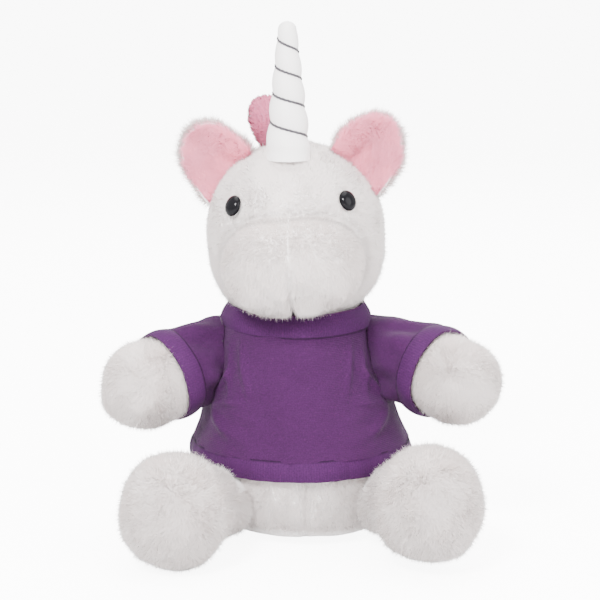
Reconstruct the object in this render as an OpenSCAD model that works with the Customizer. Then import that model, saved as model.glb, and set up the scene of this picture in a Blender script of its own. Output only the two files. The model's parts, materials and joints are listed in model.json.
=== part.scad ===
// Plush unicorn, sitting, in a short-sleeved jersey shirt.
// It faces -Y, +Z is up, and the origin is the middle of the flat seat on the surface it sits on.
// "left" and "right" are the toy's own: its left side is +X.

/* [Head] */
// Diameter of the head over its pile
head_d = 86; // [82:1:88]
// Height of the head's middle above the seat
head_z = 147.5; // [147:0.5:150]
// How far the head leans towards the right ear, in degrees
head_lean = 3; // [0:0.5:4]
// How far the face is turned to the toy's right, in degrees
head_turned = 3.5; // [0:0.5:5]
// Width of the muzzle
muzzle_w = 68; // [60:1:72]
// Height of the muzzle
muzzle_h = 47; // [44:1:48]
// Diameter of each eye's dome
eye_d = 10.5; // [8:0.5:12]
// Length of each ear's sewn edge
ear_base = 35; // [32:1:38]
// How far each ear stands out from the head
ear_reach = 30; // [26:1:32]

/* [Horn] */
// Length of the horn
horn_l = 61; // [55:1:70]
// Diameter of the horn where it is sewn on
horn_base_d = 21; // [18:0.5:23]
// Diameter of the horn near its tip
horn_tip_d = 8; // [7:0.5:9]
// Turns of the cord that is wound round the horn
cord_turns = 4; // [3:1:6]

/* [Torso] */
// Greatest radius of the torso
belly_r = 51.5; // [50:0.5:52]
// Radius of the flat seat
seat_r = 35; // [32:1:36]
// Sideways shift of the neck from the seat's middle
neck_shift = -4.8; // [-6:0.2:0]

/* [Limbs] */
// Radius of each arm inside its sleeve
arm_r = 18.6; // [17:0.2:19]
// Radius of each paw
paw_r = 20.8; // [20:0.2:23]
// Distance from the shoulder to the middle of the paw
arm_l = 42; // [38:1:46]
// Radius of each thigh
thigh_r = 17.5; // [16:0.5:18]
// Radius of each foot
foot_r = 27; // [25:0.5:28]
// Distance from the hip to the sole
leg_l = 75; // [70:1:78]

/* [Shirt] */
// Thickness of the jersey
jersey = 1.6; // [1:0.1:2]
// Height of the lower edge of the shirt at the front
hem_z = 35; // [33:0.5:38]
// Height of the ribbed hem, neck and cuff bands
band_h = 10; // [8:0.5:11]

/* [Hidden] */

white = "#f3eeee";
pink = "#f2a9c0";
mane_pink = "#dd9db3";
satin = "#efe9e8";
silver = "#77737c";
purple = "#673a84";
fibre = "#fafafa";

cloth = 2.2;          // plush fabric with its pile pressed flat
gap = 0.45;           // running room between bodies
head_r = head_d / 2;
head_c = [neck_shift, -5, head_z];
neck_top = head_z - 37.5;
neck_hole_r = 14;
neck_filling_r = neck_hole_r - 3;
bag_hollow_r = 28.1;  // the hollow in the stuffing that the pellet bag sits in
bag_y = 6;            // how far the bag sits behind the middle
shoulder = [44, -7, 87];
hip = [33, -27, 20];
sleeve_r = arm_r + jersey + 0.3;
cuff_r = sleeve_r + 0.5;
cuff_end = 30;        // distance of the sleeve's mouth from the shoulder
arm_forward = [46, 36]; // degrees forward of straight out: left, right
arm_droop = [11, 16]; // degrees below level: left, right
leg_splay = [25, 29]; // degrees out from straight ahead: left, right
leg_rise = [11, 7]; // degrees above level: left, right
tail_root = [0, belly_r + 4.8, 25];
eye_side = 43.8;      // degrees of each eye from the middle of the face
eye_rise = 21.8;
horn_set = 24;        // degrees forward of the crown
horn_pitch = 4;       // degrees that the horn leans forward
ear_rise = 42;        // degrees of each ear above level, seen from the front
ear_cup = 30;         // radius that each ear is cupped to
room_l = 34;          // length of the cone that each limb moves in

// Outline of the torso: height along its own leaning axis, and radius there.
torso_outline = [[-6, seat_r - 12], [-3, seat_r - 1], [0, seat_r + 4], [3, belly_r - 9],
    [10, belly_r - 3.5], [20, belly_r - 0.8], [31, belly_r], [44, belly_r - 1], [57, belly_r - 4],
    [70, belly_r - 8], [84, belly_r - 11.5], [96, belly_r - 14.5], [104, belly_r - 17],
    [neck_top, belly_r - 21]];
lean_forward = 2.7;
lean_side = atan(neck_shift / neck_top);

module on_head() translate(head_c) rotate([0, -head_lean, -head_turned]) children();
module on_torso() rotate([lean_forward, lean_side, 0]) children();

// The torso's shape, grown by "grow", with its seat cut flat at the height "floor".
module torso_shape(grow, floor = 0) difference() {
    on_torso() rotate_extrude($fn = 96) polygon(concat(
        [[0, torso_outline[0][0] - grow]],
        [for (p = torso_outline) [p[1] + grow, p[0] + (p[0] < 0 ? -grow : 0)]],
        [[0, neck_top]]));
    translate([-100, -100, floor - 50]) cube([200, 200, 50]);
}
// The part of a torso shape between two heights along its axis.
module torso_slice(low, high) intersection() {
    children();
    on_torso() translate([0, 0, low]) cylinder(r = 90, h = high - low, $fn = 48);
}

// Puts children, made along +Z from the origin, on a limb. side is 1 for the left, -1 for the right.
module on_arm(side) {
    i = side > 0 ? 0 : 1;
    translate([side * shoulder[0], shoulder[1], shoulder[2]])
        rotate([0, 0, side > 0 ? -arm_forward[i] : 180 + arm_forward[i]])
            rotate([0, 90 + arm_droop[i], 0]) children();
}
module on_leg(side) {
    i = side > 0 ? 0 : 1;
    translate([side * hip[0], hip[1], hip[2]])
        rotate([0, 0, side * leg_splay[i]])
            rotate([90 - leg_rise[i], 0, 0]) children();
}

// The room a limb moves in: a ball round its joint, and a cone that opens by "play" degrees.
module limb_room(r, play) {
    sphere(r = r, $fn = 64);
    translate([0, 0, r * 0.2])
        cylinder(r1 = r * 1.02, r2 = r * 1.02 + room_l * tan(play), h = room_l, $fn = 64);
}
module arm_room(side) on_arm(side) limb_room(cuff_r + 0.9, 10);
module leg_room(side) on_leg(side) limb_room(thigh_r + 1.3, 10);
module limb_rooms() {
    arm_room(1);
    arm_room(-1);
    leg_room(1);
    leg_room(-1);
}
// The ball that the head turns in.
module head_room() translate(head_c) sphere(r = head_r + gap, $fn = 64);

// ---- head ----
muzzle_at = [0, -28, -9.5];   // where the muzzle's axis starts, from the head's middle
muzzle_side = 8;      // length of the muzzle before it starts to round off
muzzle_dome = 30;     // length of its rounded end
module muzzle_shape(grow) translate(muzzle_at)
    scale([1, 1, (muzzle_h + 2 * grow) / (muzzle_w + 2 * grow)])
        rotate([90, 0, 0]) rotate_extrude($fn = 96) polygon(concat(
            [[0, 0], [muzzle_w / 2 - 1 + grow, 0], [muzzle_w / 2 + grow, muzzle_side]],
            [for (a = [12 : 12 : 84]) [(muzzle_w / 2 + grow) * pow(cos(a), 0.75),
                muzzle_side + (muzzle_dome + grow) * sin(a)]],
            [[0, muzzle_side + muzzle_dome + 0.2 + grow]]));
module on_eye(side) on_head() rotate([0, 0, side * eye_side]) rotate([90 - eye_rise, 0, 0])
    translate([0, 0, head_r - 0.8]) children();

stem_r = 1.6;
stem_l = 9;
washer_z = -cloth - 1.5;

module head_cover() color(white) difference() {
    translate(head_c) sphere(r = head_r, $fn = 96);
    translate(head_c) sphere(r = head_r - cloth, $fn = 96);
    translate([head_c[0], head_c[1], head_z - head_r - 1]) cylinder(r = neck_hole_r, h = 12, $fn = 48);
    for (side = [-1, 1]) on_eye(side) translate([0, 0, -6]) cylinder(r = stem_r, h = 12, $fn = 32);
}
module head_stuffing() color(fibre) difference() {
    translate(head_c) sphere(r = head_r - cloth, $fn = 96);
    for (side = [-1, 1]) on_eye(side) {
        translate([0, 0, -stem_l - 0.5]) cylinder(r = stem_r, h = 20, $fn = 32);
        translate([0, 0, washer_z - 1.2]) cylinder(r = 6, h = 10, $fn = 48);
    }
}
module muzzle_cover() color(white) difference() {
    on_head() muzzle_shape(0);
    on_head() muzzle_shape(-cloth);
    translate(head_c) sphere(r = head_r, $fn = 96);
}
module muzzle_stuffing() color(fibre) difference() {
    on_head() muzzle_shape(-cloth - 0.1);
    translate(head_c) sphere(r = head_r + 0.15, $fn = 96);
}

// A safety eye: a glossy dome on a ribbed stem, held behind the fabric by a push-on washer.
module eye(side) color("#101012") on_eye(side) rotate_extrude($fn = 64) polygon(concat(
    [[0, -stem_l], [stem_r * 0.7, -stem_l]],
    [for (i = [0 : 3]) each [[stem_r, -stem_l + 1 + i * 1.2], [stem_r * 0.85, -stem_l + 1.6 + i * 1.2]]],
    [[stem_r, -1.2], [stem_r, 0.8], [eye_d / 2, 0.8]],
    [for (a = [0 : 10 : 90]) [eye_d / 2 * cos(a), 1.3 + 3.6 * sin(a)]]));
module eye_washer(side) color("#c9c9c4") on_eye(side) translate([0, 0, washer_z - 1.1])
    difference() {
        cylinder(r = 5.9, h = 1.1, $fn = 48);
        translate([0, 0, -1]) cylinder(r = stem_r + 0.02, h = 4, $fn = 32);
    }

// Places children on an ear: x runs along its sewn edge, y stands out from the head, z faces forward.
module on_ear(side) on_head() rotate([0, side * (90 - ear_rise), 0])
    translate([0, 0, head_r - 2]) rotate([90, 0, 0]) children();
// A petal outline, with the sewn edge along y = 0.
module petal(w, l) polygon([for (i = [0 : 24]) let (a = 180 * i / 24)
    [w / 2 * cos(a) * (1 + 0.10 * sin(a)), l * pow(sin(a), 0.72)]]);
module ear_shell(side, outer, inner, w, l) difference() {
    on_ear(side) intersection() {
        translate([0, 0, -20]) linear_extrude(60) petal(w, l);
        translate([0, ear_reach / 2, ear_cup - 2]) difference() {
            sphere(r = outer, $fn = 96);
            sphere(r = inner, $fn = 96);
        }
    }
    translate(head_c) sphere(r = head_r + 1.7, $fn = 96);
}
module ear_back(side) color(white) ear_shell(side, ear_cup + 2.6, ear_cup, ear_base, ear_reach);
module ear_lining(side) color(pink)
    ear_shell(side, ear_cup, ear_cup - 2, ear_base - 3.5, ear_reach - 2.2);

module on_horn() on_head() rotate([horn_set, 0, 0]) translate([0, 0, head_r + 0.6])
    rotate([horn_pitch - horn_set, -1.5, 0]) children();
horn_cap = 4;         // length of the rounded tip
horn_lift = 0.6;      // height of the cone's foot above the horn's own origin
function horn_r(t) = (horn_base_d / 2) * (1 - t) + (horn_tip_d / 2) * t + 1.1 * exp(-14 * t);
module horn_shape(grow, top) rotate_extrude($fn = 64) polygon(concat(
    [[0, -horn_cap - grow], [horn_r(0) + grow, -horn_cap - grow]],
    [for (i = [0 : 20]) let (t = i / 20) [horn_r(t) + grow, horn_lift - grow + (top - horn_cap) * t]],
    [for (a = [15 : 15 : 90]) [(horn_r(1) + grow) * cos(a),
        horn_lift - grow + top - horn_cap + (horn_cap + grow) * sin(a)]]));
// The horn's foot follows the head, just clear of it.
module horn_foot() translate(head_c) sphere(r = head_r + 1.3, $fn = 96);
module horn_cover() color(satin) difference() {
    on_horn() horn_shape(0, horn_l);
    on_horn() horn_shape(-0.9, horn_l - 0.2);
    horn_foot();
}
module horn_stuffing() color(fibre) difference() {
    on_horn() horn_shape(-0.95, horn_l - 0.25);
    horn_foot();
}
// The wound cord: one tube whose rings follow a helix that narrows with the horn.
cord_r = 0.45;
cord_phase = 89;      // where the cord begins, in degrees round the horn
cord_low = 0.09;      // share of the horn's height where it begins
cord_high = 0.92;     // and where it ends
function cord_at(t) = let (
    a = cord_phase - 360 * cord_turns * t,
    h = cord_low + (cord_high - cord_low) * t,
    r = horn_r(h) + 0.1) [r * cos(a), r * sin(a), h * (horn_l - horn_cap) + horn_lift];
module horn_cord() color(silver) on_horn() {
    rings = 70;
    sides = 6;
    ring = [for (i = [0 : rings]) let (
        t = i / rings,
        p = cord_at(t),
        d = cord_at(t + 0.001) - p,
        f = d / norm(d),
        s = cross(f, [0, 0, 1]) / norm(cross(f, [0, 0, 1])),
        u = cross(s, f))
        for (k = [0 : sides - 1]) p + cord_r * (cos(360 * k / sides) * s + sin(360 * k / sides) * u)];
    walls = [for (i = [0 : rings - 1], k = [0 : sides - 1]) let (n = (k + 1) % sides)
        each [[i * sides + k, (i + 1) * sides + k, (i + 1) * sides + n],
            [i * sides + k, (i + 1) * sides + n, i * sides + n]]];
    polyhedron(ring, concat(walls, [[for (k = [0 : sides - 1]) k],
        [for (k = [sides - 1 : -1 : 0]) rings * sides + k]]));
}

// The forelock is a plump lobe that stands between the ears, leaning to the right.
module forelock() color(mane_pink) difference() {
    on_head() translate([-7, 8, head_r - 3]) rotate([0, -16, 0]) rotate_extrude($fn = 64) polygon(
        [[0, -4], [6.5, -4], [8.2, 4], [9.4, 12], [9, 18], [6.8, 23], [3.4, 25.8], [0, 26.4]]);
    translate(head_c) sphere(r = head_r + 0.05, $fn = 96);
    on_horn() translate([0, 0, -6]) cylinder(r = horn_base_d / 2 + 2.4, h = 30, $fn = 64);
}
module mane() color(mane_pink) on_head() rotate([-31, 0, 0]) rotate([0, -90, 0])
    rotate_extrude(angle = 76, $fn = 96)
        polygon([[head_r + 0.05, -7], [head_r + 5, -7.6], [head_r + 9, -6], [head_r + 11.4, -2.4],
            [head_r + 11.4, 2.4], [head_r + 9, 6], [head_r + 5, 7.6], [head_r + 0.05, 7]]);

// ---- torso ----
module neck_filling() color(fibre) difference() {
    translate([head_c[0], head_c[1], 96]) cylinder(r = neck_filling_r, h = 14, $fn = 48);
    head_room();
}
module torso_cover() color(white) difference() {
    torso_shape(0);
    torso_shape(-cloth, cloth);
    translate([0, 0, -1]) cylinder(r = seat_r, h = 4, $fn = 96);
    limb_rooms();
    head_room();
}
// The fibre stops short of the limbs in a squared-off hollow round each one.
module limb_hollow(r) translate([-r, -r, -r]) cube([2 * r, 2 * r, 90]);
module torso_stuffing() color(fibre) difference() {
    torso_shape(-cloth - 0.08, cloth + 0.08);
    for (side = [-1, 1]) {
        on_arm(side) limb_hollow(cuff_r + 1.6);
        on_leg(side) limb_hollow(thigh_r + 1.6);
    }
    head_room();
    translate([head_c[0], head_c[1], 95]) cylinder(r = neck_filling_r + gap, h = 30, $fn = 48);
    translate([0, bag_y, 0]) cylinder(r = bag_hollow_r, h = 14.5, $fn = 48);
}
module seat_panel() color(white) cylinder(r = seat_r - 0.05, h = cloth, $fn = 96);

module pellet_shape(grow) translate([0, bag_y, 8.4]) rotate_extrude($fn = 48) polygon(concat(
    [[0, -6 - grow], [22, -6 - grow]],
    [for (a = [-60 : 30 : 60]) [22 + (6 + grow) * cos(a), (6 + grow) * sin(a)]],
    [[22, 6 + grow], [0, 6 + grow]]));
module pellet_bag() color("#dcd8cf") difference() {
    pellet_shape(0);
    pellet_shape(-0.8);
    translate([0, bag_y, 9]) cylinder(r = 1, h = 10, $fn = 24);
}
module pellets() color("#e8e8ea") pellet_shape(-0.85);

module on_tail() translate(tail_root) rotate([-115, 0, 0]) children();
module tail_shape(grow) rotate_extrude($fn = 48) polygon(concat(
    [[0, -4 - grow], [3 + grow, -4 - grow], [5.5 + grow, -1], [7 + grow, 4], [10 + grow, 16]],
    [for (a = [0 : 15 : 75]) [(11 + grow) * cos(a), 20 + (11 + grow) * sin(a)]], [[0, 31 + grow]]));
module tail_cover() color(mane_pink) on_tail() difference() {
    tail_shape(0);
    tail_shape(-1.4);
    translate([0, 0, -6]) cylinder(r = 1.5, h = 5, $fn = 24);
}
module tail_stuffing() color(fibre) on_tail() tail_shape(-1.45);
module care_label() color("white") translate([0, 0, 9]) rotate([0, 0, 62])
    translate([belly_r - 4.4, -5, 0]) rotate([0, 35, 0]) cube([12, 10, 0.6]);

// ---- arms and legs ----
module arm_profile(grow) polygon(concat(
    [[0, -arm_r - grow]],
    [for (a = [-80 : 10 : 0]) [(arm_r + grow) * cos(a), (arm_r + grow) * sin(a)]],
    [[arm_r + grow, 22], [arm_r - 0.3 + grow, cuff_end - 1]],
    [for (a = [-30 : 10 : 90]) [(paw_r + grow) * cos(a), arm_l + (paw_r + grow) * sin(a)]]));
module arm_cover(side) color(white) on_arm(side) difference() {
    rotate_extrude($fn = 64) arm_profile(0);
    rotate_extrude($fn = 64) arm_profile(-cloth);
    translate([0, 0, -arm_r - 1]) cylinder(r = 6, h = 6, $fn = 32);
}
module arm_stuffing(side) color(fibre) on_arm(side) rotate_extrude($fn = 64) arm_profile(-cloth - 0.05);

sole_r = foot_r * 0.76;
module leg_profile(grow) polygon(concat(
    [[0, -thigh_r - grow]],
    [for (a = [-80 : 10 : 10]) [(thigh_r + grow) * cos(a), (thigh_r + grow) * sin(a)]],
    [[thigh_r + grow, 18], [thigh_r + 0.8 + grow, 32], [thigh_r + 4 + grow, 42]],
    [for (a = [-30 : 10 : 50]) [sole_r - 3 + (foot_r - sole_r + 3 + grow) * cos(a),
        leg_l - 17 + (21 + grow) * sin(a)]],
    [[0, leg_l - 0.92 + grow]]));
module leg_cover(side) color(white) on_leg(side) difference() {
    rotate_extrude($fn = 64) leg_profile(0);
    rotate_extrude($fn = 64) leg_profile(-cloth);
    translate([0, 0, -thigh_r - 1]) cylinder(r = 6, h = 6, $fn = 32);
    translate([0, 0, leg_l - 8]) cylinder(r = sole_r, h = 20, $fn = 64);
}
module sole(side) color(white) on_leg(side) intersection() {
    difference() {
        rotate_extrude($fn = 64) leg_profile(0);
        rotate_extrude($fn = 64) leg_profile(-cloth);
    }
    translate([0, 0, leg_l - 8]) cylinder(r = sole_r - 0.03, h = 20, $fn = 64);
}
module leg_stuffing(side) color(fibre) on_leg(side) rotate_extrude($fn = 64) leg_profile(-cloth - 0.05);

// ---- shirt ----
module shirt_wall(low, high, outer) difference() {
    torso_slice(low, high) torso_shape(outer);
    torso_shape(0.1);
    limb_rooms();
}
collar_z = 103.4;
collar_r = 35.2;
cuff_start = cuff_end - band_h * 0.8;
split_y = 2.5;        // the shirt's side seams lie this far forward of the middle
body_low = hem_z + band_h;
module shirt_half(front) color(purple) intersection() {
    shirt_wall(body_low + 0.05, collar_z - 0.05, 0.1 + jersey);
    translate([-100, front ? -200 - split_y : -split_y + 0.06, 0]) cube([200, 200, 200]);
}
module hem_band() color(purple) shirt_wall(hem_z, body_low, 3);
module neck_band() color(purple) difference() {
    on_torso() translate([0, 0, collar_z]) rotate_extrude($fn = 96) polygon([[collar_r, 0],
        [collar_r + 2.6, 0], [collar_r + 3, 2.6], [collar_r + 2.5, 5.6], [collar_r + 1.2, 7.6],
        [collar_r, 8.1], [collar_r - 0.7, 7.6], [collar_r - 0.4, 5]]);
    arm_room(1);
    arm_room(-1);
}
module sleeve(side) color(purple) on_arm(side) rotate_extrude($fn = 64) polygon(concat(
    [for (a = [-25 : 12.5 : 0]) [sleeve_r * cos(a), sleeve_r * sin(a)]],
    [[sleeve_r + 0.2, 12], [sleeve_r, cuff_start], [sleeve_r - jersey, cuff_start],
        [sleeve_r - jersey + 0.1, 12]],
    [for (a = [0 : -12.5 : -25]) [(sleeve_r - jersey) * cos(a), (sleeve_r - jersey) * sin(a)]]));
module cuff(side) color(purple) on_arm(side) rotate_extrude($fn = 64) polygon([
    [cuff_r, cuff_start + 0.05], [cuff_r + 0.2, cuff_end - 3], [cuff_r - 0.3, cuff_end],
    [cuff_r - 1.9, cuff_end], [cuff_r - 2.05, cuff_start + 0.05]]);

head_cover();
head_stuffing();
muzzle_cover();
muzzle_stuffing();
eye(1);  // left_eye
eye(-1);  // right_eye
eye_washer(1);  // left_eye_washer
eye_washer(-1);  // right_eye_washer
ear_back(1);  // left_ear_back
ear_lining(1);  // left_ear_lining
ear_back(-1);  // right_ear_back
ear_lining(-1);  // right_ear_lining
horn_cover();
horn_stuffing();
horn_cord();
forelock();
mane();
neck_filling();
torso_cover();
torso_stuffing();
seat_panel();
pellet_bag();
pellets();
tail_cover();
tail_stuffing();
care_label();
arm_cover(1);  // left_arm_cover
arm_stuffing(1);  // left_arm_stuffing
arm_cover(-1);  // right_arm_cover
arm_stuffing(-1);  // right_arm_stuffing
leg_cover(1);  // left_leg_cover
sole(1);  // left_sole
leg_stuffing(1);  // left_leg_stuffing
leg_cover(-1);  // right_leg_cover
sole(-1);  // right_sole
leg_stuffing(-1);  // right_leg_stuffing
shirt_half(true);  // shirt_front
shirt_half(false);  // shirt_back
neck_band();
hem_band();
sleeve(1);  // left_sleeve
cuff(1);  // left_cuff
sleeve(-1);  // right_sleeve
cuff(-1);  // right_cuff
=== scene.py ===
import json
import math

import bpy
import numpy as np
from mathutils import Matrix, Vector


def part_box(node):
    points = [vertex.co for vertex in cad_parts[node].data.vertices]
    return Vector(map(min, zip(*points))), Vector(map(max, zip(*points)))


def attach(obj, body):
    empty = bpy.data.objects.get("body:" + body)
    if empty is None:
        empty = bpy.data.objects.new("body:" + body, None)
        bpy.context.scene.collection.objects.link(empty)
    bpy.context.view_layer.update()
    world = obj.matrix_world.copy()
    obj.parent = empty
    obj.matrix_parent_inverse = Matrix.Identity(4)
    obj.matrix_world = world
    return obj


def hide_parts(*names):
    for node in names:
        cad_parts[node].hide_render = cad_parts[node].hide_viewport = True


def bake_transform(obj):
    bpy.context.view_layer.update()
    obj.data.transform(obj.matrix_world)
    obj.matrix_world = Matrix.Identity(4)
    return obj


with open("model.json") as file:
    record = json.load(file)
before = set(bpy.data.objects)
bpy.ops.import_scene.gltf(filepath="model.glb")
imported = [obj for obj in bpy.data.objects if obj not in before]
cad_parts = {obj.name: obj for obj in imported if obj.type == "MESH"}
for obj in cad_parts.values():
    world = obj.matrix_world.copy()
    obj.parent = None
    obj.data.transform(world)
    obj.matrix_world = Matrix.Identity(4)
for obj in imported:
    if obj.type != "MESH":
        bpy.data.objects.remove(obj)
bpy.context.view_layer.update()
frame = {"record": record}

MM = 0.001
ops = bpy.ops


# ---------------------------------------------------------------- measures from the frame
def middle(node):
    low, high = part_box(node)
    return (np.array(low) + np.array(high)) / 2


def spans(node):
    low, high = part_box(node)
    return np.array(high) - np.array(low)


def unit(v):
    v = np.asarray(v, float)
    return v / np.maximum(np.linalg.norm(v, axis=-1, keepdims=True), 1e-12)


JOINTS = {j["name"]: j for j in frame["record"]["behaviour"]["joints"]}


def pivot(name):
    return np.array(JOINTS[name]["pos_m"])


HEAD = pivot("head_turn")
HEAD_R = spans("head_cover")[0] / 2
HEAD_X = unit(middle("left_eye") - middle("right_eye"))
HEAD_Z = unit(np.array([0, 0, 1]) - HEAD_X[2] * HEAD_X)
HEAD_Y = np.cross(HEAD_Z, HEAD_X)
FACE_FIBRE = 1.6 * MM  # how far the pile stands out from the cloth of the face
SIDES = {"left": 1, "right": -1}  # the toy's own left is towards +X
SIDE_SEED = {"left": 4, "right": 5}  # added to a limb's seed, so that the two sides differ


def on_head(points):
    p = np.asarray(points, float)
    return HEAD + p[..., 0:1] * HEAD_X + p[..., 1:2] * HEAD_Y + p[..., 2:3] * HEAD_Z


def to_head(points):
    p = np.asarray(points) - HEAD
    return np.stack([p @ HEAD_X, p @ HEAD_Y, p @ HEAD_Z], axis=-1)


# ---------------------------------------------------------------- materials
class Signal:
    """One output of a node, with arithmetic."""

    def __init__(self, cloth, socket):
        self.cloth, self.socket = cloth, socket

    def maths(self, operation, *others):
        inputs = dict(enumerate((self, *others)))
        return self.cloth.add("ShaderNodeMath", {"operation": operation}, inputs)

    def __add__(self, other):
        return self.maths("ADD", other)

    def __sub__(self, other):
        return self.maths("SUBTRACT", other)

    def __mul__(self, other):
        return self.maths("MULTIPLY", other)

    def __rsub__(self, other):
        return (self * -1) + other

    __radd__ = __add__
    __rmul__ = __mul__

    def sin(self):
        return self.maths("SINE")

    def abs(self):
        return self.maths("ABSOLUTE")

    def clamp(self):
        return self.maths("MINIMUM", 1.0).maths("MAXIMUM", 0.0)


class Cloth:
    """A material whose nodes are added one at a time."""

    def __init__(self, name, **shader):
        self.material = bpy.data.materials.new(name)
        self.material.use_nodes = True
        self.nodes = self.material.node_tree.nodes
        self.links = self.material.node_tree.links
        self.shader = self.nodes["Principled BSDF"]
        for socket, value in shader.items():
            self.put(self.shader.inputs[socket.replace("_", " ")], value)

    def put(self, socket, value):
        if isinstance(value, Signal):
            self.links.new(value.socket, socket)
        elif socket.type == "RGBA" and len(value) == 3:
            socket.default_value = (*value, 1)
        else:
            socket.default_value = value

    def add(self, kind, settings=None, sockets=None, out=0):
        node = self.nodes.new(kind)
        for key, value in (settings or {}).items():
            setattr(node, key, value)
        for key, value in (sockets or {}).items():
            self.put(node.inputs[key], value)
        return Signal(self, node.outputs[out])

    def blend(self, first, second, share):
        return self.add("ShaderNodeMix", {"data_type": "RGBA"}, {0: share, 6: first, 7: second}, out=2)

    def place(self):
        return self.add("ShaderNodeTexCoord", out=3)

    def noise(self, scale, detail=3.0, rough=0.5, where=None):
        return self.add("ShaderNodeTexNoise", {}, {"Vector": where or self.place(), "Scale": scale,
                        "Detail": detail, "Roughness": rough})

    def cells(self, scale, where=None):
        return self.add("ShaderNodeTexVoronoi", {}, {"Vector": where or self.place(), "Scale": scale})

    def own(self, name, out=2):
        return self.add("ShaderNodeAttribute", {"attribute_name": name}, out=out)

    def flat_map(self, name):
        uv = self.add("ShaderNodeUVMap", {"uv_map": name})
        parts = self.nodes.new("ShaderNodeSeparateXYZ")
        self.links.new(uv.socket, parts.inputs[0])
        return Signal(self, parts.outputs[0]), Signal(self, parts.outputs[1])

    def relief(self, height, depth, strength=1.0):
        bump = self.add("ShaderNodeBump", {}, {"Height": height, "Distance": depth, "Strength": strength})
        self.put(self.shader.inputs["Normal"], bump)

    def shader_out(self):
        return Signal(self, self.shader.outputs[0])

    def colour(self, signal):
        self.put(self.shader.inputs["Base Color"], signal)

    def rough(self, signal):
        self.put(self.shader.inputs["Roughness"], signal)


def backing_cloth(name, light, shade):
    """The knitted backing between the fibres of a plush, with its tufts pressed together."""
    m = Cloth(name, Sheen_Weight=0.35, Sheen_Roughness=0.5, Specular_IOR_Level=0.2)
    tufts = m.cells(520.0)
    patches = m.noise(60.0, 4.0)
    m.colour(m.blend(light, shade, (tufts * 0.75 + patches * 0.5 - 0.1).clamp()))
    m.rough(m.noise(90.0) * 0.15 + 0.82)
    m.relief(m.noise(900.0, 4.0, 0.7) + tufts * 0.8, 0.0012, 0.8)
    return m.material


def pile_fibre(name, root, tip, grey):
    """The fibres: darker at the root and in a crease, as painted shade, with soft patches over the surface
    and a random grey from fibre to fibre, partly random tone and partly painted shade between the fibres.
    """
    m = Cloth(name, Sheen_Weight=0.2, Sheen_Roughness=0.4, Specular_IOR_Level=0.15)
    reach = m.own("reach")
    shade = m.own("shade")
    patches = m.noise(70.0, 2.0)
    # painted shade: each fibre darker towards its root, deep in the pile
    length_colour = m.blend(root, tip, reach)
    # painted shade mixed with random tone: fibres greyer at random and in soft patches, standing in for the
    # shade between fibres
    shade_and_tone = m.blend(length_colour, grey, (patches * 0.35 + shade * 0.55 - 0.2).clamp())
    # painted shade: a darker grey where the deep attribute marks a crease
    m.colour(m.blend(shade_and_tone, tuple(0.55 * part for part in grey), m.own("deep").clamp()))
    m.rough(0.95 - patches * 0.25)
    glow = m.add("ShaderNodeBsdfTranslucent", {}, {"Color": tip})
    both = m.add("ShaderNodeMixShader", {}, {0: 0.35, 1: m.shader_out(), 2: glow})
    m.links.new(both.socket, m.nodes["Material Output"].inputs["Surface"])
    return m.material


def knit_jersey(name, bright, deep, wale, rib=False):
    """Knitted cloth: rows of V stitches, or a ribbed band with a dark line on its sewn edge, painted shadow
    where the band stands over the cloth.
    """
    m = Cloth(name, Sheen_Weight=0.03, Sheen_Roughness=0.4, Specular_IOR_Level=0.12)
    along, up = m.flat_map("cloth")
    turn = (along * (2 * math.pi / wale)).sin()
    if rib:
        stitch = turn * 0.5 + 0.5
        row = (up * (2 * math.pi / 0.0011)).sin() * 0.12
    else:
        course = (up * (2 * math.pi / (wale * 0.9)) + turn.abs() * 3.1).sin() * 0.5 + 0.5
        stitch = course * (turn.abs() * 0.7 + 0.3)
        row = turn.abs() * 0.25
    yarn = m.noise(1500.0, 3.0, 0.65)
    patches = m.noise(45.0, 3.0)
    knit = m.blend(deep, bright, (stitch * 0.12 + yarn * 1.5 + patches * 0.3 - 0.5).clamp())
    if rib:
        # painted shadow: a dark line along the band's sewn edge, where the band's edge casts shade on the
        # cloth
        sewn_edge_shadow = (1.0 - up.abs() * 900.0).clamp()
        knit = m.blend(knit, tuple(0.35 * part for part in deep), sewn_edge_shadow)
    m.colour(knit)
    m.rough(yarn * 0.2 + 0.72)
    m.relief(stitch * (0.5 if rib else 1.0) + row + yarn * 0.6, 0.0002, 0.7)
    return m.material


def satin_cloth(name, light, shade):
    m = Cloth(name, Sheen_Weight=0.3, Sheen_Roughness=0.3, Specular_IOR_Level=0.45)
    weave = m.noise(2400.0, 2.0)
    patches = m.noise(90.0, 3.0)
    m.colour(m.blend(light, shade, (patches * 0.5 + weave * 0.3 - 0.1).clamp()))
    m.rough(patches * 0.2 + 0.42)
    m.relief(weave, 0.0002, 0.5)
    return m.material


def twisted_thread(name, light, dark):
    m = Cloth(name, Specular_IOR_Level=0.5)
    along, around = m.flat_map("cloth")
    ply = ((along * (2 * math.pi / 0.0011)) + around * (2 * math.pi)).sin() * 0.5 + 0.5
    m.colour(m.blend(dark, light, (ply * 0.8 + m.noise(1500.0) * 0.3 - 0.05).clamp()))
    m.rough(0.55 - ply * 0.15)
    m.relief(ply, 0.0004, 0.9)
    return m.material


def polished_plastic(name, colour, edge):
    m = Cloth(name, Specular_IOR_Level=0.10)
    haze = m.noise(300.0, 3.0)
    m.colour(m.blend(colour, edge, haze * 0.25))
    m.rough(haze * 0.05 + 0.06)
    m.relief(haze, 0.00002, 0.3)
    return m.material


# ---------------------------------------------------------------- making pieces
def fresh():
    if bpy.context.object and bpy.context.object.mode != "OBJECT":
        ops.object.mode_set(mode="OBJECT")
    ops.object.select_all(action="DESELECT")


def points_of(piece):
    out = np.empty(len(piece.data.vertices) * 3)
    piece.data.vertices.foreach_get("co", out)
    return out.reshape(-1, 3)


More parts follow.
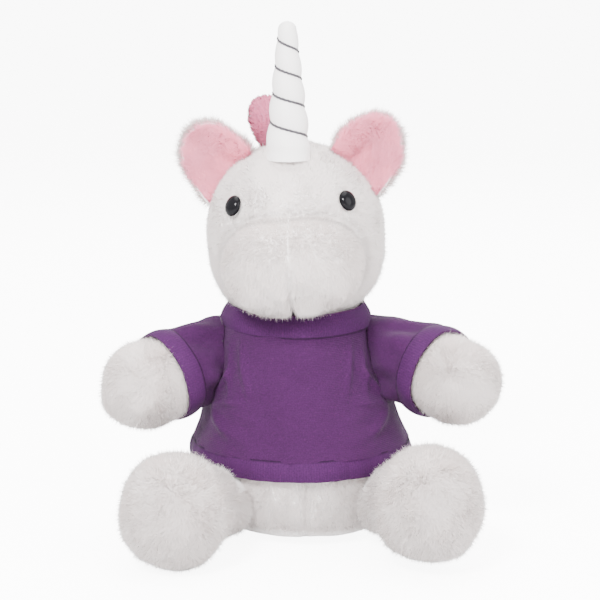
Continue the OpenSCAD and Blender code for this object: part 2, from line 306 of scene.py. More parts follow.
def normals_of(piece):
    out = np.empty(len(piece.data.vertices) * 3)
    piece.data.vertices.foreach_get("normal", out)
    return out.reshape(-1, 3)


def set_points(piece, points):
    piece.data.vertices.foreach_set("co", np.ascontiguousarray(points, float).ravel())
    piece.data.update()


def push(piece, distance):
    """Moves each point along its own normal."""
    set_points(piece, points_of(piece) + normals_of(piece) * np.asarray(distance).reshape(-1, 1))


def finish(piece, name, material, body, node=(), angle=60):
    fresh()
    piece.select_set(True)
    bpy.context.view_layer.objects.active = piece
    piece.name = name
    piece.data.name = name
    ops.object.mode_set(mode="EDIT")
    ops.mesh.select_all(action="SELECT")
    ops.mesh.normals_make_consistent(inside=False)
    ops.object.mode_set(mode="OBJECT")
    ops.object.shade_smooth_by_angle(angle=math.radians(angle))
    piece.data.materials.clear()
    piece.data.materials.append(material)
    if isinstance(body, tuple):
        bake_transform(piece)
    else:
        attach(piece, body)
    for one in (node,) if isinstance(node, str) else node:
        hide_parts(one)
    return piece


def ball(across=64, rings=40):
    """A unit ball at the origin to shape, and the direction of each of its points."""
    fresh()
    ops.mesh.primitive_uv_sphere_add(segments=across, ring_count=rings, radius=1, location=(0, 0, 0))
    return bpy.context.object, points_of(bpy.context.object)


def strip(across, along, shape, closed=True):
    """A grid whose two directions, each 0 to 1, are laid on shape(u, v), and welded where it closes."""
    fresh()
    ops.mesh.primitive_grid_add(x_subdivisions=across, y_subdivisions=along, size=1, location=(0, 0, 0))
    piece = bpy.context.object
    flat = points_of(piece)
    set_points(piece, shape(flat[:, 0] + 0.5, flat[:, 1] + 0.5))
    if closed:
        ops.object.mode_set(mode="EDIT")
        ops.mesh.select_all(action="SELECT")
        ops.mesh.remove_doubles(threshold=1e-6)
        ops.object.mode_set(mode="OBJECT")
    return piece


def cloth_map(piece, width, height, top=0.0):
    """A flat map in metres from the grid's own 0 to 1 map, so that a knit keeps its size.
    Its height is counted from top, 0 or 1 on the grid."""
    layer = piece.data.uv_layers[0]
    layer.name = "cloth"
    uv = np.empty(len(layer.data) * 2)
    layer.data.foreach_get("uv", uv)
    uv = (uv.reshape(-1, 2) - (0, top)) * (width, height)
    layer.data.foreach_set("uv", uv.ravel())


def use_modifier(piece, kind, **settings):
    fresh()
    piece.select_set(True)
    bpy.context.view_layer.objects.active = piece
    made = piece.modifiers.new(kind.title(), kind)
    for key, value in settings.items():
        setattr(made, key, value)
    ops.object.modifier_apply(modifier=made.name)


def ridge(offset, width):
    """1 where the offset is nothing, falling softly to 0 on both sides."""
    return np.exp(-((offset / width) ** 2))


def swell(points, size, seed, waves=9):
    """Soft random swelling, about -1 to 1, of the given feature size."""
    rng = np.random.default_rng(seed)
    total = np.zeros(len(points))
    for _ in range(waves):
        way = unit(rng.normal(size=3)) * (2 * math.pi / size) * rng.uniform(0.6, 1.5)
        total += np.sin(points @ way + rng.uniform(0, 6.28))
    return total / math.sqrt(waves)


def near_line(points, start, end, width, fade=0.25):
    """1 on the line between two points, falling to 0 away from it, and tapered at both ends."""
    start, end = np.asarray(start, float), np.asarray(end, float)
    way = end - start
    t = np.clip(((points - start) @ way) / (way @ way), 0, 1)
    off = np.linalg.norm(points - (start + t[:, None] * way), axis=1)
    ends = np.clip(np.minimum(t, 1 - t) / fade, 0, 1) if fade else 1
    return ridge(off, width) * ends


STUFFING_PRESSURE = 4.0
STUFFING_FRAMES = 14


def inflate(piece, voxel, cap):
    """Fills a cover: cloth under pressure for a few frames, each point held to a small move."""
    use_modifier(piece, "REMESH", mode="VOXEL", voxel_size=voxel)
    start = points_of(piece)
    fresh()
    piece.select_set(True)
    bpy.context.view_layer.objects.active = piece
    cover = piece.modifiers.new("Cover", "CLOTH")
    cover.settings.use_pressure = True
    cover.settings.uniform_pressure_force = STUFFING_PRESSURE
    cover.settings.effector_weights.gravity = 0
    cover.settings.quality = 4
    cover.point_cache.frame_end = STUFFING_FRAMES
    for step in range(1, STUFFING_FRAMES + 1):
        bpy.context.scene.frame_set(step)
    held = piece.evaluated_get(bpy.context.evaluated_depsgraph_get())
    end = points_of(held)
    piece.modifiers.remove(cover)
    bpy.context.scene.frame_set(1)
    move = end - start
    far = np.linalg.norm(move, axis=1, keepdims=True)
    set_points(piece, start + move * np.minimum(1, cap / np.maximum(far, 1e-9)))


def stuffed(piece, cap, voxel=0.004):
    """Inflates and smooths a cover, and returns its points."""
    inflate(piece, voxel, cap)
    use_modifier(piece, "SUBSURF", levels=1, render_levels=1)
    return points_of(piece)


def round_axis(foot, axis, first, second, along, x, y):
    """Points that lie along an axis and off it, x on the first cross direction and y on the second."""
    return foot + along[:, None] * axis + x[:, None] * first + y[:, None] * second


def flat_out(points):
    """The level directions from the upright axis to the points."""
    return unit(points * (1, 1, 0))


def pod(origin, axis, outline, across, rings, squash=1.0):
    """A cover turned round an axis: outline holds (distance along the axis, radius) from root to tip.
    squash narrows it from side to side."""
    piece, p = ball(across, rings)
    steps = np.concatenate([[0], np.cumsum(np.linalg.norm(np.diff(outline, axis=0), axis=1))])
    turn = np.arccos(np.clip(-p[:, 2], -1, 1)) / math.pi * steps[-1]
    along = np.interp(turn, steps, outline[:, 0])
    radius = np.interp(turn, steps, outline[:, 1])
    flat = np.maximum(np.hypot(p[:, 0], p[:, 1]), 1e-9)
    side = unit(np.cross(axis, (0, 0, 1)))
    top = np.cross(side, axis)
    x, y = radius * p[:, 0] / flat * squash, radius * p[:, 1] / flat
    set_points(piece, round_axis(origin, axis, side, top, along, x, y))
    return piece


def smooth_outline(points, count):
    """A rounded curve through a few (distance, radius) points, given in mm, as metres."""
    points = np.array(points, float) * MM
    t = np.concatenate([[0], np.cumsum(np.linalg.norm(np.diff(points, axis=0), axis=1))])
    fine = np.linspace(0, t[-1], count)
    out = np.stack([np.interp(fine, t, points[:, i]) for i in (0, 1)], axis=1)
    for _ in range(3):
        out[1:-1] = (out[:-2] + 2 * out[1:-1] + out[2:]) / 4
    return out


def pile(skin, name, material, body, count, length, seed, comb=(0, 0, -0.35), width=0.0004, clump=0.004,
         pull=0.22, wild=0.5, lengths=None, deep=None, slot="white_plush", short=True):
    """Fibres standing on a skin: narrow blades that lean with their neighbours.
    Short ones have one part, long ones two. lengths scales them by place, and deep darkens them: painted
    shade in creases and seam grooves."""
    rng = np.random.default_rng(seed)
    mesh = skin.data
    mesh.calc_loop_triangles()
    corners = np.empty(len(mesh.loop_triangles) * 3, np.int64)
    mesh.loop_triangles.foreach_get("vertices", corners)
    corners = corners.reshape(-1, 3)
    spots, facing = points_of(skin), normals_of(skin)
    a, b, c = spots[corners[:, 0]], spots[corners[:, 1]], spots[corners[:, 2]]
    area = np.linalg.norm(np.cross(b - a, c - a), axis=1)
    pick = rng.choice(len(corners), size=count, p=area / area.sum())
    r1, r2 = np.sqrt(rng.random(count)), rng.random(count)
    w = np.stack([1 - r1, r1 * (1 - r2), r1 * r2], axis=1)
    root = (spots[corners[pick]] * w[..., None]).sum(axis=1)
    out = unit((facing[corners[pick]] * w[..., None]).sum(axis=1))
    long = length * rng.uniform(0.7, 1.15, count)
    if lengths is not None:
        long *= lengths(root, out)
        keep = long > 0.12 * length
        root, out, long = root[keep], out[keep], long[keep]
        count = len(root)
    lean = np.broadcast_to(comb(root, out) if callable(comb) else comb, out.shape)
    lean = lean - out * (lean * out).sum(axis=1, keepdims=True)
    turn = np.linalg.qr(rng.normal(size=(3, 3)))[0]
    cell = root @ turn / clump
    cell = cell + 0.9 * np.stack([swell(root, clump * 5, seed + k) for k in (1, 2, 3)], axis=1)
    shift = (np.floor(cell) + 0.5 - cell) @ turn.T * clump
    shift -= out * (shift * out).sum(axis=1, keepdims=True)
    loose = rng.normal(size=(count, 3)) * wild
    drift = np.stack([swell(root, 0.016, seed + k) for k in (11, 12, 13)], axis=1) * 0.22
    bend = lean + drift + loose * 0.55
    bend -= out * (bend * out).sum(axis=1, keepdims=True)
    stray = rng.random(count) < 0.07
    bend[stray] *= 0.45
    long[stray] *= 1.5
    shift[stray] *= 0.2
    mid = root + out * (long * 0.50)[:, None] + bend * (long * 0.30)[:, None] + shift * (0.45 * pull)
    tip = root + out * (long * 0.82)[:, None] + bend * (long * 1.05)[:, None] + shift * pull
    root = root - out * 0.0004
    way = unit(tip - root)
    across = unit(np.cross(out, unit(bend + shift * 120)))
    spin = rng.normal(size=count) * 0.5
    across = across * np.cos(spin)[:, None] + np.cross(way, across) * np.sin(spin)[:, None]
    flip = (np.cross(across, way) * out).sum(axis=1) < 0
    across = np.where(flip[:, None], -across, across) * (width / 2 * rng.uniform(0.7, 1.2, count))[:, None]
    if short:
        reach = [0, 0, 1.0]
        places = np.stack([root - across, root + across, tip], axis=1)
        loops = np.arange(count * 3)
        starts = np.arange(count) * 3
        step = np.array([[-1, -1], [1, -1], [0, 1.6]]) * 0.0012
    else:
        reach = [0, 0, 0.6, 0.6, 1.0]
        narrow = across * 0.8
        places = np.stack([root - across, root + across, mid - narrow, mid + narrow, tip], axis=1)
        base = np.arange(count)[:, None] * 5
        loops = np.concatenate([(base + [0, 1, 3, 2]).ravel(), (base + [2, 3, 4]).ravel()])
        starts = np.concatenate([np.arange(count) * 4, count * 4 + np.arange(count) * 3])
        step = np.array([[-1, -1], [1, -1], [-0.8, 0.4], [0.8, 0.4], [0, 1.6]]) * 0.0012
    made = bpy.data.meshes.new(name)
    made.vertices.add(count * len(reach))
    made.vertices.foreach_set("co", places.ravel())
    made.loops.add(len(loops))
    made.loops.foreach_set("vertex_index", loops)
    made.polygons.add(len(starts))
    made.polygons.foreach_set("loop_start", starts)
    made.update(calc_edges=True)
    values = {"reach": np.tile(reach, count), "shade": np.repeat(rng.random(count), len(reach))}
    # deep carries painted shade in creases and seam grooves to the fibres' colour
    if deep:
        values["deep"] = np.repeat(deep(root), len(reach))
    for key, value in values.items():
        made.attributes.new(key, "FLOAT", "POINT").data.foreach_set("value", value)
    uv = made.uv_layers.new(name="OFBake")
    way = unit(root - root.mean(axis=0))
    spot = way[:, :2] / (np.abs(way).sum(axis=1, keepdims=True))
    under = way[:, 2] < 0
    fold = (1 - np.abs(spot[:, ::-1])) * np.where(spot >= 0, 1, -1)
    spot = np.where(under[:, None], fold, spot) * 0.48 + 0.5
    fine = spot[:, None, :] + step[None]
    uv.data.foreach_set("uv", fine.reshape(-1, 2)[loops].ravel())
    soft = unit(out + 0.3 * way + 0.16 * rng.normal(size=(count, 3))).repeat(len(reach), axis=0)
    made.polygons.foreach_set("use_smooth", np.ones(len(starts), bool))
    made.normals_split_custom_set_from_vertices(soft)
    piece = bpy.data.objects.new(name, made)
    bpy.context.scene.collection.objects.link(piece)
    made.materials.append(material)
    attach(piece, body)


# ---------------------------------------------------------------- cloths
white_cloth = backing_cloth("white_backing", (0.95, 0.91, 0.90), (0.90, 0.86, 0.85))
white_fibre = pile_fibre("white_pile", (0.96, 0.885, 0.865), (1.0, 0.94, 0.92), (0.94, 0.87, 0.855))
pink_cloth = backing_cloth("pink_backing", (0.90, 0.40, 0.55), (0.80, 0.30, 0.44))
pink_fibre = pile_fibre("pink_pile", (0.92, 0.25, 0.38), (1.0, 0.47, 0.58), (0.94, 0.33, 0.46))
rose_cloth = backing_cloth("rose_backing", (0.66, 0.22, 0.35), (0.54, 0.16, 0.27))
rose_fibre = pile_fibre("rose_pile", (0.60, 0.14, 0.25), (0.73, 0.225, 0.36), (0.62, 0.17, 0.28))
jersey = knit_jersey("purple_jersey", (0.054, 0.0102, 0.062), (0.0215, 0.0038, 0.0255), 0.0009)
ribbing = knit_jersey("purple_rib", (0.055, 0.0108, 0.066), (0.022, 0.0039, 0.027), 0.0012, rib=True)
# A dark purple for the raglan seam cord: painted shade standing in for the shadow in the seam's crease.
seam_shadow_thread = satin_cloth("purple_seam", (0.022, 0.004, 0.026), (0.014, 0.003, 0.017))
satin = satin_cloth("white_satin", (0.88, 0.85, 0.84), (0.76, 0.73, 0.73))
tape_cloth = satin_cloth("label_weave", (0.90, 0.89, 0.87), (0.80, 0.79, 0.78))
thread = twisted_thread("silver_thread", (0.20, 0.185, 0.21), (0.035, 0.03, 0.04))
eye_black = polished_plastic("eye_black", (0.004, 0.004, 0.005), (0.012, 0.010, 0.012))

TUFTED = dict(material=rose_fibre, width=0.00034, clump=0.0032, pull=0.55, slot="mane_plush", short=False)

# ---------------------------------------------------------------- head
eyes = {side: middle(f"{side}_eye") for side in SIDES}
eye_out = {side: unit(at - HEAD) for side, at in eyes.items()}
EYE_R = 5.1 * MM
horn_foot = pivot("horn_flex")
horn_tip = np.array([*middle("horn_cord")[:2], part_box("horn_cover")[1][2]])
MUZZLE = to_head(middle("muzzle_cover"))
MUZZLE_W = spans("muzzle_cover")[0] / 2 - FACE_FIBRE * 0.8
MUZZLE_H = spans("muzzle_cover")[2] / 2 - FACE_FIBRE * 0.8
MUZZLE_FRONT = HEAD[1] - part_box("muzzle_cover")[0][1] - FACE_FIBRE
MUZZLE_BACK = 0.026  # how far in front of the head's centre the muzzle's own centre is
MUZZLE_ROUND = 2.5  # 2 is an ellipsoid, and more is squarer


def in_muzzle(h):
    """Below 1 inside the muzzle, for points in the head's own directions."""
    reach = (h - (0, -MUZZLE_BACK, MUZZLE[2])) / (MUZZLE_W, MUZZLE_FRONT - MUZZLE_BACK, MUZZLE_H)
    return (np.abs(reach) ** MUZZLE_ROUND).sum(axis=1)


def make_head():
    head, way = ball(96, 64)
    full = np.where(way[:, 2] < 0, 2.6, 2.0)
    flat = np.hypot(way[:, 0], way[:, 1])
    grown = 1 / (flat ** full + np.abs(way[:, 2]) ** full) ** (1 / full)
    p = way * (HEAD_R - FACE_FIBRE) * grown[:, None]
    p[:, 2] *= np.where(way[:, 2] < 0, 0.98, 1.0)
    places = on_head(p)
    for side in SIDES:
        near = np.linalg.norm(places - eyes[side], axis=1)
        places -= eye_out[side] * (1.6 * MM * ridge(near, 7.5 * MM))[:, None]
    set_points(head, places)
    p = stuffed(head, cap=0.0008)
    h = to_head(p)
    rim = np.clip((1.75 - in_muzzle(h)) / 0.7, 0, 1) * (h[:, 1] < 0)
    seam = ridge(h[:, 0], 0.0011) * (h[:, 1] > -0.01)
    push(head, 0.45 * MM * swell(p, 0.03, 3) - 1.8 * MM * rim - 1.1 * MM * seam)
    finish(head, "head_skin", white_cloth, "head", ("head_cover", "head_stuffing"))

    def lengths(root, out):
        h = to_head(root)
        long = np.ones(len(root))
        for side in SIDES:
            near = np.linalg.norm(root - (eyes[side] - eye_out[side] * 2 * MM), axis=1)
            long *= 0.8 + 0.2 * np.clip((near - EYE_R) / (4 * MM), 0, 1)
            long[near < EYE_R * 0.80] = 0
        rim = in_muzzle(h)
        long[rim < 0.80] = 0
        long *= 0.7 + 0.3 * np.clip((rim - 1.0) / 0.8, 0, 1)
        base = np.linalg.norm(root - horn_foot, axis=1)
        long *= 1 + 1.9 * np.clip((15 * MM - base) / (4 * MM), 0, 1)
        long[base < 9.4 * MM] = 0
        chin, nape = np.clip((-0.004 - h[:, 2]) / 0.02, 0, 1), np.clip(h[:, 1] / 0.02, 0, 1)
        return long * (1 + 0.7 * chin + 0.5 * nape)

    def comb(root, out):
        away = unit(root - on_head(np.array([[0, -0.04, -0.008]])))
        base = np.linalg.norm(root - horn_foot, axis=1, keepdims=True)
        round_horn = np.clip((0.0155 - base) / 0.005, 0, 1)
        return (0.5 * away + np.array([0, 0, -0.28])
                + (0.5 * HEAD_Z - 0.6 * unit(root - horn_foot)) * round_horn)

    # Painted shade in the crease round the muzzle's top, darkening the fibres there.
    def deep(root):
        h = to_head(root)
        return 0.6 * ridge(in_muzzle(h) - 1.05, 0.16) * (h[:, 1] < -0.01)

    pile(head, "head_pile", white_fibre, "head", 185000, 2.3 * MM, 21, comb, lengths=lengths, deep=deep,
         wild=0.45)


def mouth_line(h):
    """The mouth's height above the muzzle's centre: it curls up to both sides."""
    return -0.0165 + 1.6 * h[:, 0] ** 2 / 0.03


def make_muzzle():
    muzzle, d = ball(80, 56)
    d /= ((np.abs(d) ** MUZZLE_ROUND).sum(axis=1) ** (1 / MUZZLE_ROUND))[:, None]
    p = d * (MUZZLE_W, MUZZLE_FRONT - MUZZLE_BACK, MUZZLE_H) + (0, -MUZZLE_BACK, MUZZLE[2])
    p[:, 0] *= 1 - 0.12 * np.clip(-d[:, 2], 0, 1) ** 2 - 0.07 * np.clip(d[:, 2], 0, 1)
    p[:, 1] += 0.006 * np.clip(d[:, 2], 0, 1) * (d[:, 1] < 0)
    p[:, 2] -= 0.0022 * np.clip(-d[:, 2], 0, 1)
    set_points(muzzle, on_head(p))
    p = stuffed(muzzle, voxel=0.0035, cap=0.0008)
    h = to_head(p)
    z = h[:, 2] - MUZZLE[2]
    front = h[:, 1] < -0.03
    seam = ridge(h[:, 0], 0.0013) * np.clip((0.004 - z) / 0.006, 0, 1) * front
    dip = ridge(h[:, 0], 0.0065) * np.clip((0.004 - z) / 0.012, 0, 1) * front
    mouth = ridge(z - mouth_line(h), 0.0011) * (np.abs(h[:, 0]) < 0.016) * front
    push(muzzle, -1.6 * MM * seam - 0.8 * MM * dip - 0.8 * MM * mouth + 0.4 * MM * swell(p, 0.028, 5))
    finish(muzzle, "muzzle_skin", white_cloth, "head", ("muzzle_cover", "muzzle_stuffing"))

    def lengths(root, out):
        h = to_head(root)
        z = h[:, 2] - MUZZLE[2]
        long = np.ones(len(root))
        long[(np.abs(h[:, 0]) < 0.0006) & (z < -0.003) & (h[:, 1] < -0.03)] = 0.6
        long[(np.abs(z - mouth_line(h)) < 0.0006) & (np.abs(h[:, 0]) < 0.013)] *= 0.6
        long[np.linalg.norm(root - HEAD, axis=1) < HEAD_R - FACE_FIBRE - 1 * MM] = 0
        return long * (1 + 1.0 * np.clip((-0.004 - z) / 0.014, 0, 1))

    def comb(root, out):
        h = to_head(root)
        side = np.sign(h[:, 0]) * np.clip(1 - np.abs(h[:, 0]) / 0.02, 0, 1)
        return np.array([0, -0.3, -1.0]) + 0.35 * side[:, None] * HEAD_X

    # Painted shade where the muzzle meets the head, and in the seam groove down the muzzle's lower middle.
    def deep(root):
        h = to_head(root)
        off = np.linalg.norm(root - HEAD, axis=1) - HEAD_R
        seam = ridge(h[:, 0], 0.0012) * (h[:, 2] < MUZZLE[2] + 0.002)
        return 0.75 * ridge(off, 0.0016) + 0.35 * seam

    pile(muzzle, "muzzle_pile", white_fibre, "head", 130000, 2.0 * MM, 22, comb, lengths=lengths, deep=deep,
         pull=0.15, wild=0.28)


def make_eye(side):
    eye, d = ball(48, 32)
    out = eye_out[side]
    across = unit(np.cross((0, 0, 1), out))
    up = np.cross(out, across)
    dome = np.where(d[:, 2] > 0, 3.0 * MM, 1.6 * MM)
    places = (eyes[side] + out * 0.4 * MM + (d[:, 0] * EYE_R * 0.9)[:, None] * across
              + (d[:, 1] * EYE_R)[:, None] * up + (d[:, 2] * dome)[:, None] * out)
    set_points(eye, places)
    finish(eye, f"{side}_eye_dome", eye_black, "head", f"{side}_eye")


def make_ear(side):
    foot = pivot(f"{side}_ear_fold")
    hinge = unit(np.array(JOINTS[f"{side}_ear_fold"]["axis"]))
    if hinge[2] > 0:
        hinge = -hinge
    outward = unit(foot - HEAD)
    front = unit(np.cross(hinge, outward))
    if front[1] > 0:
        front = -front
    reach, crease_depth = (30.2, 5.0) if side == "left" else (29.2, 2.4)
    for part, facing, half, long, lift, thick, cloth, fibre, hair, slot, seed in (
            ("back", -1, 16.6, 1.0, -1.1, 1.7, white_cloth, white_fibre, 3.9, "white_plush", 41),
            ("lining", 1, 15.6, 0.97, 0.8, 1.5, pink_cloth, pink_fibre, 3.5, "pink_plush", 43)):
        ear, d = ball()
        y = np.clip(d[:, 1] * 0.5 + 0.5, 0, 1)
        across = np.clip(d[:, 0] / np.sqrt(np.clip(1 - d[:, 1] ** 2, 1e-4, 1)), -1, 1)
        wide = half * MM * (1 - y ** 3.0) ** 0.52
        flat_x = across * wide - 4.2 * MM * y
        rise = y * reach * MM
        cup = flat_x ** 2 / 0.052 + (rise - 0.014) ** 2 / 0.085
        crease = ridge(flat_x + 0.006, 0.0028) * np.clip(1 - y / 0.62, 0, 1) * crease_depth * MM
        stand = cup - crease + (lift - 3 + d[:, 2] * thick) * MM
        sewn = foot - outward * 3.2 * MM
        set_points(ear, round_axis(sewn, outward, hinge, front, rise * long, flat_x, stand))
        push(ear, 0.25 * MM * swell(points_of(ear), 0.02, seed))
        finish(ear, f"{side}_ear_{part}_skin", cloth, f"{side}_ear", f"{side}_ear_{part}")

        def lengths(root, out, facing=facing):
            return np.where(out @ front * facing > -0.35, 1.0, 0.0)

        pile(ear, f"{side}_ear_{part}_pile", fibre, f"{side}_ear", 50000, hair * MM, seed, outward * 0.5,
             lengths=lengths, slot=slot, width=0.0003, clump=0.0045, pull=0.35, wild=0.65)


def make_horn():
    axis = unit(horn_tip - horn_foot)
    length = np.linalg.norm(horn_tip - horn_foot) - 0.5 * MM
    side = unit(np.cross((0, 1, 0), axis))
    deep = np.cross(axis, side)
    turns, begin, stop = 4.0, 0.09, 0.92
    start = math.radians(89)
    sunk = 4.5 * MM

    def radius(t):
        return (10.6 * (1 - t) + 3.9 * t) * MM

    def place(run, r, turn):
        rise = run * length - sunk * (1 - run) ** 6
        return round_axis(horn_foot, axis, side, deep, rise, r * np.cos(turn), r * np.sin(turn))

    horn, d = ball(64, 120)
    t = np.clip(np.arccos(np.clip(-d[:, 2], -1, 1)) / math.pi, 0, 1)
    a = np.arctan2(d[:, 1], d[:, 0])
    run = np.clip(t * 1.06 - 0.03, 0, 1)
    tip_round = np.sqrt(1 - np.clip((run - 0.945) / 0.055, 0, 1) ** 2)
    r = radius(run) * tip_round * np.clip(t / 0.03, 0, 1)
    wound = (-turns * (run - begin) / (stop - begin)) * 2 * math.pi + start
    phase = np.abs(np.mod((a - wound) / (2 * math.pi) + 0.5, 1) - 0.5) * 2
    inside = np.clip((run - begin + 0.05) / 0.05, 0, 1) * np.clip((stop + 0.03 - run) / 0.05, 0, 1)
    r *= 1 + inside * (0.19 * np.sin(phase * math.pi / 2) ** 0.7 - 0.13)
    r *= 1 + 0.012 * np.sin(a * 17 + run * 60) * ridge(phase, 0.35) * inside
    set_points(horn, place(run, r, a))
    finish(horn, "horn_skin", satin, "horn", ("horn_cover", "horn_stuffing"))

    def cord(u, v):
        run = begin + (stop - begin) * v
        turn = -turns * v * 2 * math.pi + start
        core = place(run, radius(run) * 0.90, turn)
        out = side * np.cos(turn)[:, None] + deep * np.sin(turn)[:, None]
        thick = 0.62 * MM * (1 + 0.14 * np.sin(u * 4 * math.pi + v * 520))
        return (core + out * (thick * np.cos(u * 2 * math.pi))[:, None]
                + axis * (thick * np.sin(u * 2 * math.pi))[:, None])

    spiral = strip(14, 900, cord)
    cloth_map(spiral, 1.0, 0.26)
    finish(spiral, "horn_thread", thread, "horn", "horn_cord")


def make_crest():
    lock, d = ball(64, 48)
    foot = on_head(np.array([-7, 8, HEAD_R / MM - 3]) * MM)
    lean = unit(HEAD_Z * math.cos(math.radians(16)) - HEAD_X * math.sin(math.radians(16)))
    wide = unit(HEAD_X - lean * (HEAD_X @ lean))
    thin = np.cross(lean, wide)
    rise = np.arccos(np.clip(-d[:, 2], -1, 1)) / math.pi
    steps = [0, 0.12, 0.3, 0.5, 0.68, 0.84, 0.94, 1]
    r = np.interp(rise, steps, [0, 5.5, 6.8, 8.0, 8.2, 6.4, 3.2, 0]) * MM
    h = np.interp(rise, steps, [-4, -3, 3, 10, 16, 21.5, 24, 24.6]) * MM
    ring = np.maximum(np.hypot(d[:, 0], d[:, 1]), 1e-9)
    set_points(lock, round_axis(foot, lean, wide, thin, h, r * d[:, 0] / ring, r * 0.95 * d[:, 1] / ring))
    push(lock, 0.35 * MM * swell(points_of(lock), 0.014, 61))
    finish(lock, "forelock_skin", rose_cloth, "head", "forelock")
    pile(lock, "forelock_pile", body="head", count=12000, length=1.7 * MM, seed=62, comb=lean * 0.8,
         wild=0.2, **TUFTED)

    crest, d = ball(64, 96)
    turn = (np.arccos(np.clip(-d[:, 2], -1, 1)) / math.pi)
    angle = np.radians(31 + 76 * turn)
    ring = np.hypot(d[:, 0], d[:, 1])
    ring = np.clip(ring / 0.55, 0, 1) ** 0.7
    a = np.arctan2(d[:, 1], d[:, 0])
    lobes = 1 + 0.13 * np.abs(np.sin(turn * math.pi * 4.5))
    high = HEAD_R - 3 * MM + (6.0 + 6.6 * np.sin(a) * lobes) * MM * ring
    local = np.stack([6.4 * MM * np.cos(a) * ring, np.sin(angle) * high, np.cos(angle) * high], axis=1)
    set_points(crest, on_head(local))
    push(crest, 0.4 * MM * swell(points_of(crest), 0.016, 63))
    finish(crest, "mane_skin", rose_cloth, "head", "mane")
    pile(crest, "mane_pile", body="head", count=20000, length=1.9 * MM, seed=64, wild=0.25, **TUFTED)


# ---------------------------------------------------------------- limbs and torso
def make_arm(side):
    shoulder = pivot(f"{side}_arm_raise")
    axis = unit(middle(f"{side}_cuff") - shoulder)
    body = f"{side}_arm"
    paw = 17.0 if side == "left" else 17.7
    outline = smooth_outline([(-10, 0), (-9, 9), (-3, 14.5), (12, 16.4), (27, 16.6), (35, paw),
                              (43, paw * 1.03), (51, paw * 0.9), (57, paw * 0.62), (59.6, paw * 0.3),
                              (60.2, 0)], 60)
    arm = pod(shoulder, axis, outline, 72, 64)
    p = stuffed(arm, cap=0.0009)
    push(arm, 0.55 * MM * swell(p, 0.026, 71 + SIDE_SEED[side]))
    nodes = (f"{side}_arm_cover", f"{side}_arm_stuffing")
    finish(arm, f"{side}_arm_skin", white_cloth, body, nodes)

    def lengths(root, out):
        past_cuff = (root - shoulder) @ axis - 25 * MM
        return np.clip(past_cuff / (4 * MM), 0, 1)

    pile(arm, f"{side}_arm_pile", white_fibre, body, 240000, 4.0 * MM, 72 + SIDE_SEED[side],
         axis * 0.35 + np.array([0, 0, -0.3]), lengths=lengths, wild=0.6, pull=0.3, clump=0.0045)


def make_leg(side):
    hip = pivot(f"{side}_leg_splay")
    sole = middle(f"{side}_sole")
    axis = unit(sole - hip)
    body = f"{side}_leg"
    foot = 24.6
    tip = np.linalg.norm(sole - hip) / MM + 7
    outline = smooth_outline([(-12, 0), (-11, 8), (-5, 14), (14, 14.8), (30, 14.8), (40, 18.5),
                              (46, foot * 0.93), (55, foot * 1.03), (tip - 12, foot * 0.93),
                              (tip - 6, foot * 0.74), (tip - 2.6, foot * 0.45), (tip - 2.2, 0)], 70)
    leg = pod(hip, axis, outline, 80, 72, squash=0.89)
    p = stuffed(leg, cap=0.0009)
    s = (p - hip) @ axis
    r = np.linalg.norm(p - hip - s[:, None] * axis, axis=1)
    front = np.clip((s / MM - tip + 16) / 6, 0, 1)
    dent = ridge(r / MM - foot * 0.80, 1.5) * front
    if side == "right":
        across = unit(np.cross(axis, (0, 0, 1)))
        up = np.cross(across, axis)
        ends = (sole + (up * a + across * b + axis * 5) * MM for a, b in ((9, -9), (4, 9)))
        dent += near_line(p, *ends, 2.2 * MM)
    push(leg, 0.6 * MM * swell(p, 0.03, 81 + SIDE_SEED[side]) - 1.2 * MM * dent)
    nodes = (f"{side}_leg_cover", f"{side}_sole", f"{side}_leg_stuffing")
    finish(leg, f"{side}_leg_skin", white_cloth, body, nodes)

    def lengths(root, out):
        x, y, z = root.T / MM
        clear = np.hypot(x - NECK_AT[0] * z, y - NECK_AT[1] * z) - torso_radius(z) - np.where(z > 28, 5, -3)
        return np.clip(clear / 4, 0, 1) * np.where(out[:, 2] < -0.8, 0.8, 1.0)

    def comb(root, out):
        return np.array([0, 0, -0.3]) + 0.25 * axis + 0.2 * unit(root - (sole - 20 * MM * axis))

    pile(leg, f"{side}_leg_pile", white_fibre, body, 198000, 4.3 * MM, 82 + SIDE_SEED[side], comb,
         lengths=lengths, wild=0.6, pull=0.3, clump=0.005, width=0.00042)


# The torso's height and radius, and how far its middle leans for each mm of height.
TORSO = [(0, 39.5), (3, 43), (10, 48), (20, 50.7), (31, 51.5), (44, 50.5), (57, 47.5), (70, 43.5), (84, 40),
         (96, 37), (106, 34), (113, 30.5)]
NECK_AT = np.array([-4.8, -5.0]) / 105


def torso_radius(z):
    return np.interp(z, *np.array(TORSO).T)


def torso_point(angle, z, extra):
    """A point on the torso at this angle from the front, positive to the toy's left, z and extra in mm."""
    r = torso_radius(z) + extra
    x = NECK_AT[0] * z + r * np.sin(angle)
    y = NECK_AT[1] * z - r * np.cos(angle)
    return np.stack([x, y, z + 0 * x + 0 * angle], axis=-1) * MM


